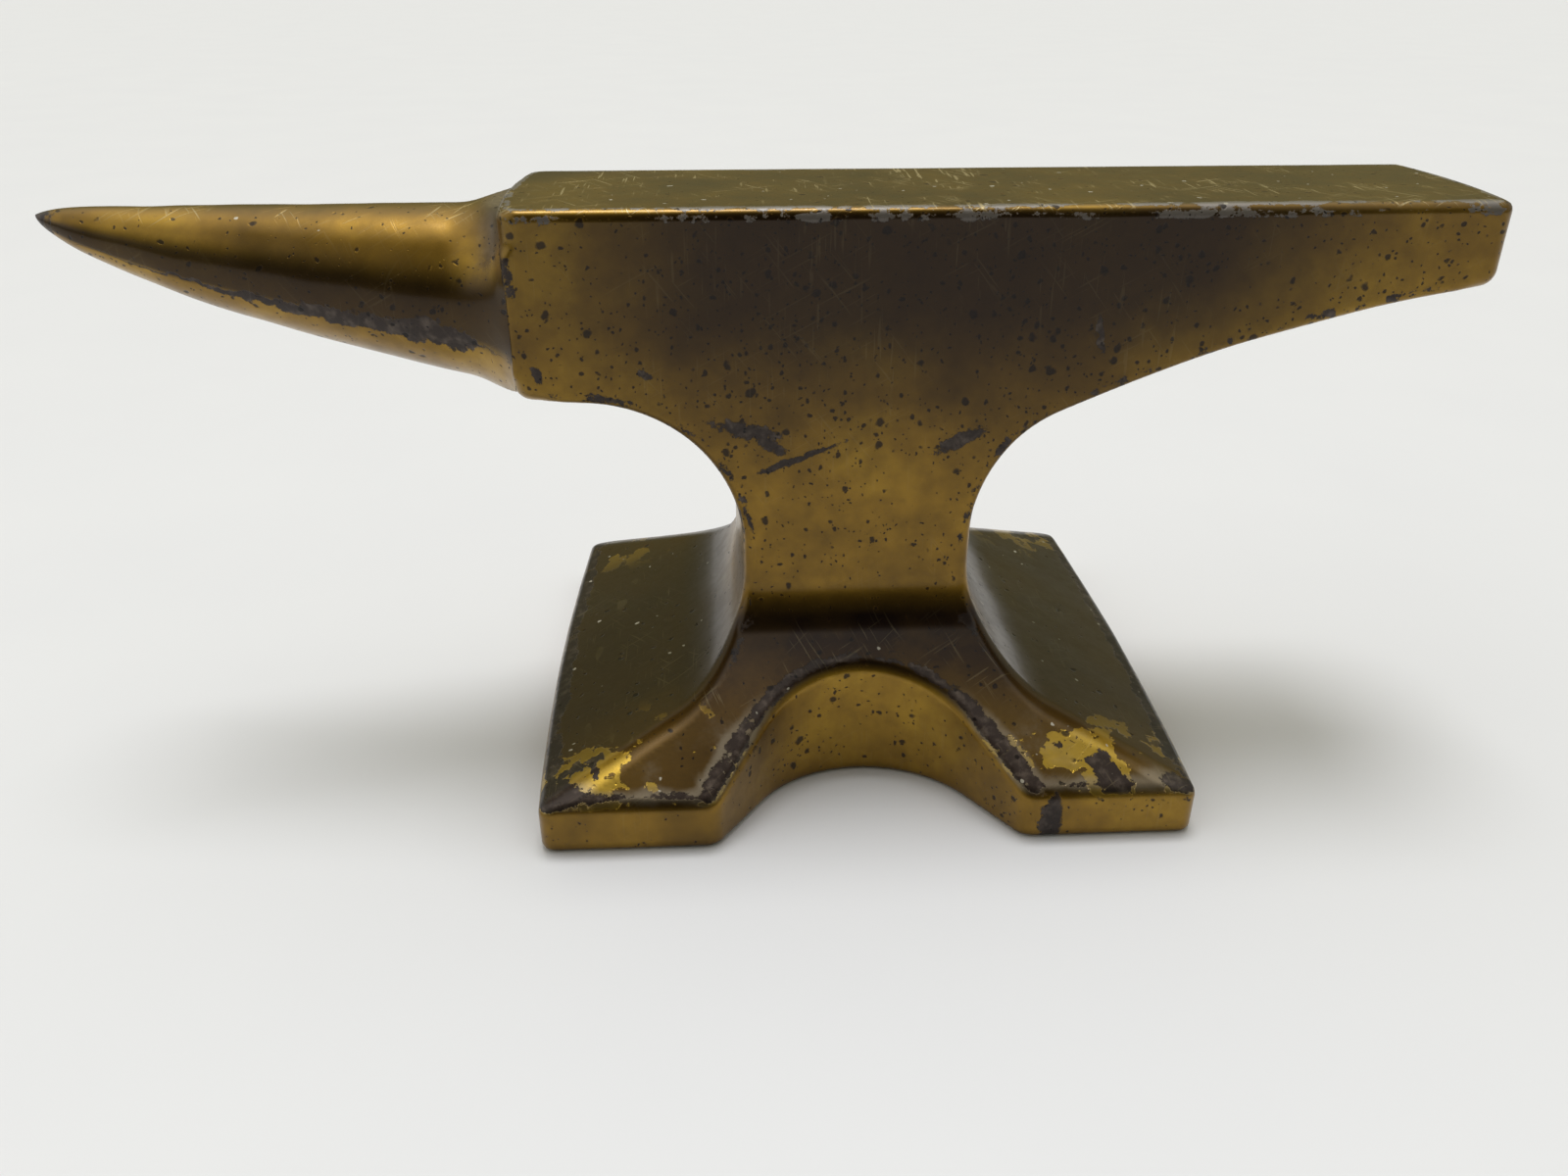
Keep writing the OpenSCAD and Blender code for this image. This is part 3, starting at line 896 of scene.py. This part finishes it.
        # the long ragged patch rubbed bare along the lower front of the horn, its tip and its top at the root
        shift = calc("MULTIPLY", calc("SUBTRACT", noise(0.33, 6.0, 0.7), 0.5), 0.62)
        off = calc("ABSOLUTE", calc("ADD", calc("ADD", mark("around"), 0.34), shift))
        along = mark("along")
        swell = calc("MULTIPLY", rise(along, 0.08, 0.85), calc("SUBTRACT", 1.0, rise(along, 0.9, 0.96)))
        patch = rise(calc("SUBTRACT", calc("MULTIPLY", swell, 0.14), off), -0.02, 0.01)
        tip = rise(calc("SUBTRACT", calc("MULTIPLY", noise(1.2, 4.0), 0.09), along), 0.0, 0.02)
        root = calc("MULTIPLY", rise(along, 0.93, 0.99), rise(calc("ADD", mark("tilt"), ragged), 0.9, 1.2))
        return calc("MAXIMUM", calc("MAXIMUM", patch, tip), calc("MULTIPLY", root, 0.7))

    def _flakes(self, paint: Paint) -> tuple[Any, Any, Any]:
        """The plating lifted in islands with sharp shores, on the base's slopes near its feet.

        Returns:
            Where fresh plating shows, where the surface is lower for it, and where bare metal shows.
        """
        if self.zone is not Zone.BASE:
            return 0.0, 0.0, 0.0
        calc = paint.graph.math
        rise = paint.rise
        away = calc("ABSOLUTE", paint.spot["Y"])
        low_down = calc("MULTIPLY", rise(paint.facing["Z"], 0.3, 0.6), rise(away, 14.0, 23.0))
        low_down = calc("MULTIPLY", low_down, calc("SUBTRACT", 1.0, rise(paint.spot["Z"], 7.0, 11.0)))
        islands = paint.graph.add("ShaderNodeTexNoise", {"Vector": paint.drift, "Scale": 0.15, "Detail": 6.0,
                                                         "Roughness": 0.58})
        level = calc("ADD", islands.outputs["Fac"], calc("MULTIPLY", low_down, 0.1))
        lifted = calc("MULTIPLY", rise(level, 0.585, 0.597), low_down)
        exposed = calc("MULTIPLY", rise(level, 0.665, 0.675), low_down)
        return calc("MULTIPLY", lifted, 0.85), lifted, exposed

    def _rubbed_and_sheen(self, paint: Paint) -> Any:
        """A thin grey haze along the base's creases: partly where handling has polished the lacquer away, partly a
        painted sheen.
        """
        if self.zone is not Zone.BASE:
            return 0.0
        calc = paint.graph.math
        rise = paint.rise
        patchy = calc("MULTIPLY", paint.noise(0.2, 5.0, 0.6), 1.6)
        haze = rise(calc("ADD", paint.mark("edge"), patchy), 0.85, 1.5)
        sloped = calc("MULTIPLY", rise(paint.facing["Z"], 0.3, 0.6),
                      rise(calc("ABSOLUTE", paint.facing["Y"]), 0.08, 0.35))
        low = calc("SUBTRACT", 1.0, rise(paint.spot["Z"], 7.0, 11.0))
        return calc("MULTIPLY", calc("MULTIPLY", haze, 0.5), calc("MULTIPLY", sloped, low))

    def _scratches(self, paint: Paint) -> Any:
        """Fine short lines in three directions, which are seen mostly in the gloss."""
        calc = paint.graph.math
        rise = paint.rise
        lines: Any = 0.0
        for turn, seed, size in (((0, 0, 0.5), 3.0, (7.0, 0.2, 5.0)), ((0, 0, -1.0), 11.0, (5.0, 0.17, 5.0)),
                                 ((0, 0.9, 0), 23.0, (6.0, 5.0, 0.2)), ((0, -0.5, 0), 31.0, (8.0, 5.0, 0.2))):
            run = paint.graph.add("ShaderNodeMapping", {
                "Vector": paint.place, "Location": (seed, seed, seed), "Rotation": turn,
                "Scale": size}, vector_type="TEXTURE")
            lines = calc("MAXIMUM", lines, rise(paint.noise(1.0, 1.0, 0.4, run.outputs[0]), 0.675, 0.72))
        lines = calc("MULTIPLY", lines, rise(paint.noise(0.16, 2.0), 0.44, 0.62))
        up = rise(paint.facing["Z"], 0.5, 0.9)
        on_face = calc("MULTIPLY", rise(paint.spot["Z"], 49.0, 51.5), 1.1)
        share = calc("ADD", 0.06, calc("MULTIPLY", up, calc("ADD", 0.12, on_face)))
        return calc("MULTIPLY", calc("MULTIPLY", lines, share), self.scratches)

    def _dust(self, paint: Paint) -> Any:
        """Specks of pale dust, a tenth of a millimetre across, on what faces up."""
        calc = paint.graph.math
        cells = paint.graph.add("ShaderNodeTexVoronoi", {"Vector": paint.drift, "Scale": 0.6})
        pick = paint.graph.add("ShaderNodeSeparateColor", {0: cells.outputs["Color"]}).outputs
        dot = paint.rise(calc("SUBTRACT", calc("MULTIPLY", pick[1], 0.13), cells.outputs["Distance"]), -0.03, 0.01)
        chosen = calc("LESS_THAN", pick[0], 0.45)
        return calc("MULTIPLY", calc("MULTIPLY", dot, chosen), paint.rise(paint.facing["Z"], 0.45, 0.8))


@dataclass
class Studio:
    """A pale floor, soft light from above and the camera."""

    floor: str = "#e2e3e8"
    floor_light: str = "#e6e7eb"
    floor_half: float = 6.0
    lamp_energy: float = 1.4
    lamp_width: float = 24.0
    lamp_tilt: float = -14.0
    room_strength: float = 1.06
    wall_left: tuple[float, ...] = (0.98, 0.99, 0.99, 1)
    wall_right: tuple[float, ...] = (0.5, 0.5, 0.48, 1)
    near_dark: tuple[float, ...] = (0.05, 0.047, 0.044, 1)
    seen_wall: tuple[float, ...] = (0.78, 0.78, 0.78, 1)
    focal_length: float = 36.0 * 1246.0 / 1600.0
    camera_place: tuple[float, float, float] = (-0.0038, -0.11213, 0.07114)
    camera_turn: tuple[float, float, float] = (math.pi / 2 - 0.4865, 0.0, -0.0492)

    def build(self) -> None:
        """Makes the floor, the light, the world and the camera."""
        bpy.context.scene.view_settings.view_transform = "Standard"
        self._floor()
        lamp = bpy.data.lights.new("overhead", "SUN")
        lamp.energy = self.lamp_energy
        lamp.angle = math.radians(self.lamp_width)
        sky = bpy.data.objects.new("overhead", lamp)
        sky.rotation_euler = (math.radians(self.lamp_tilt), 0.0, 0.0)
        bpy.context.scene.collection.objects.link(sky)
        self._room()
        self._camera()

    def _floor(self) -> None:
        """Lays the pale floor, with the faintest mottle in it."""
        mesh, half = bpy.data.meshes.new("floor"), self.floor_half
        mesh.from_pydata([(-half, -half, 0), (half, -half, 0), (half, half, 0), (-half, half, 0)], [], [(0, 1, 2, 3)])
        floor = bpy.data.objects.new("floor", mesh)
        bpy.context.scene.collection.objects.link(floor)
        paint = bpy.data.materials.new("pale_laminate")
        paint.use_nodes = True
        graph = Graph(paint.node_tree)
        spot = graph.add("ShaderNodeTexCoord").outputs["Object"]
        mottle = graph.add("ShaderNodeTexNoise", {"Vector": spot, "Scale": 30.0, "Detail": 3.0})
        tone = graph.add("ShaderNodeMix", {"Factor": mottle.outputs["Fac"], 6: linear(self.floor),
                                           7: linear(self.floor_light)}, data_type="RGBA")
        shader = graph.add("ShaderNodeBsdfPrincipled", {"Base Color": tone.outputs[2], "Roughness": 0.62})
        graph.add("ShaderNodeOutputMaterial", {"Surface": shader})
        mesh.materials.append(paint)

    def _room(self) -> None:
        """Lights the world: pale from above, with a bright and a dimmer side and a dark front."""
        world = bpy.data.worlds.new("room")
        world.use_nodes = True
        bpy.context.scene.world = world
        graph = Graph(world.node_tree)
        way = graph.add("ShaderNodeSeparateXYZ", {0: graph.add("ShaderNodeTexCoord").outputs["Generated"]}).outputs
        sky_tone = graph.add("ShaderNodeValToRGB", {"Fac": way["Z"]})
        stops = sky_tone.color_ramp.elements
        stops[0].position, stops[0].color = 0.0, (0.10, 0.10, 0.05, 1)
        stops[1].position, stops[1].color = 1.0, (1.1, 1.09, 1.04, 1)
        for height, shade in ((0.33, (0.22, 0.21, 0.10, 1)), (0.5, (0.44, 0.42, 0.24, 1)),
                              (0.8, (1.02, 1.01, 0.93, 1))):
            stops.new(height).color = shade
        aside = graph.math("ABSOLUTE", way["X"])
        front, narrow, wide, above = (
            graph.add("ShaderNodeMapRange", {"Value": value, "From Min": low, "From Max": high},
                      interpolation_type="SMOOTHSTEP").outputs["Result"]
            for value, low, high in ((way["Y"], 0.05, -0.3), (aside, 0.6, 0.25), (aside, 0.55, 0.9),
                                     (way["Z"], 0.0, 0.3)))
        side_tone = graph.add("ShaderNodeMix", {"Factor": graph.math("GREATER_THAN", way["X"], 0.0),
                                                6: self.wall_left, 7: self.wall_right}, data_type="RGBA").outputs[2]
        # the eye sees a plain pale wall; only the anvil and the floor see the room
        eye = graph.add("ShaderNodeLightPath").outputs["Is Camera Ray"]
        tone = sky_tone.outputs[0]
        for share, shade in ((graph.math("MULTIPLY", wide, above), side_tone),
                             (graph.math("MULTIPLY", front, narrow), self.near_dark), (eye, self.seen_wall)):
            tone = graph.add("ShaderNodeMix", {"Factor": share, 6: tone, 7: shade}, data_type="RGBA").outputs[2]
        glow = graph.add("ShaderNodeBackground", {"Color": tone, "Strength": self.room_strength})
        graph.add("ShaderNodeOutputWorld", {"Surface": glow})

    def _camera(self) -> None:
        """Sets up the camera."""
        lens = bpy.data.cameras.new("camera")
        lens.sensor_width = 36.0
        lens.lens = self.focal_length
        lens.clip_start = 0.004
        camera = bpy.data.objects.new("camera", lens)
        camera.location = self.camera_place
        camera.rotation_euler = self.camera_turn
        bpy.context.scene.collection.objects.link(camera)
        bpy.context.scene.camera = camera


@dataclass
class Anvil:
    """The whole anvil: the casting, its horn and their finishes."""

    sizes: AnvilSizes = field(default_factory=AnvilSizes)

    def finishes(self) -> dict[Zone, bpy.types.Material]:
        """The four finishes, alike but for how each zone has worn and where its shade is painted."""
        middle = self.sizes.middle_x
        scars = (
            Scar(middle - 9.8, 33.4, 7.6, 1.9, -12.0), Scar(middle - 7.6, 32.0, 3.8, 1.4, -30.0),
            Scar(middle - 5.4, 30.6, 10.8, 0.9, 20.0), Scar(middle + 9.4, 32.2, 6.2, 1.7, 28.0),
            Scar(middle + 21.0, 41.6, 0.8, 5.0, 12.0), Scar(middle - 27.6, 38.7, 1.0, 2.2, 10.0),
            Scar(middle - 18.4, 38.6, 1.6, 0.9, -20.0), Scar(middle - 30.2, 40.4, 1.2, 3.6, 0.0),
            Scar(middle + 4.0, 33.0, 6.0, 1.2, -18.0, False), Scar(middle - 6.0, 38.0, 1.2, 4.0, 15.0, False),
            Scar(middle + 24.0, 43.0, 5.0, 1.0, 8.0, False), Scar(middle - 22.0, 41.0, 2.0, 1.4, 30.0, False))
        knock = (Scar(middle + 16.6, 2.2, 2.4, 9.0, 0.0),)
        return {zone: WornBrassPlate(zone, scars=worn).material() for zone, worn in
                ((Zone.FACE, scars), (Zone.BODY, scars), (Zone.HORN, ()), (Zone.BASE, knock))}

    def build(self) -> None:
        """Builds every member, dresses it and ties it to the frame."""
        finishes = self.finishes()
        casting = Casting(CastForm(self.sizes))
        pieces = {member: casting.finish(member, mesh) for member, mesh in casting.members().items()}
        for member, piece in pieces.items():
            zone = {Member.FACE_PLATE: Zone.FACE, Member.UPPER_BODY: Zone.BODY, Member.HEEL: Zone.BODY,
                    Member.WAIST: Zone.BODY}.get(member, Zone.BASE)
            piece.data.materials.append(finishes[zone])
            self._tie(member, piece, zone)
        horn = HornRule(self.sizes).build(finishes[Zone.HORN])
        self._tie(Member.HORN, horn, Zone.HORN)

    @staticmethod
    def _tie(member: Member, piece: bpy.types.Object, zone: Zone) -> None:
        """Lets a piece stand for its member and ride with the anvil, and logs its faces and slot."""
        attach(piece, "root")
        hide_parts(member.value)
        log.info("%s: %d faces, %s", piece.name, len(piece.data.polygons), zone.value)


def main() -> None:
    """Loads the frame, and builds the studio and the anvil."""
    logging.basicConfig(level=logging.INFO, format="%(message)s")
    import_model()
    Studio().build()
    Anvil().build()


if __name__ == "__main__":
    main()
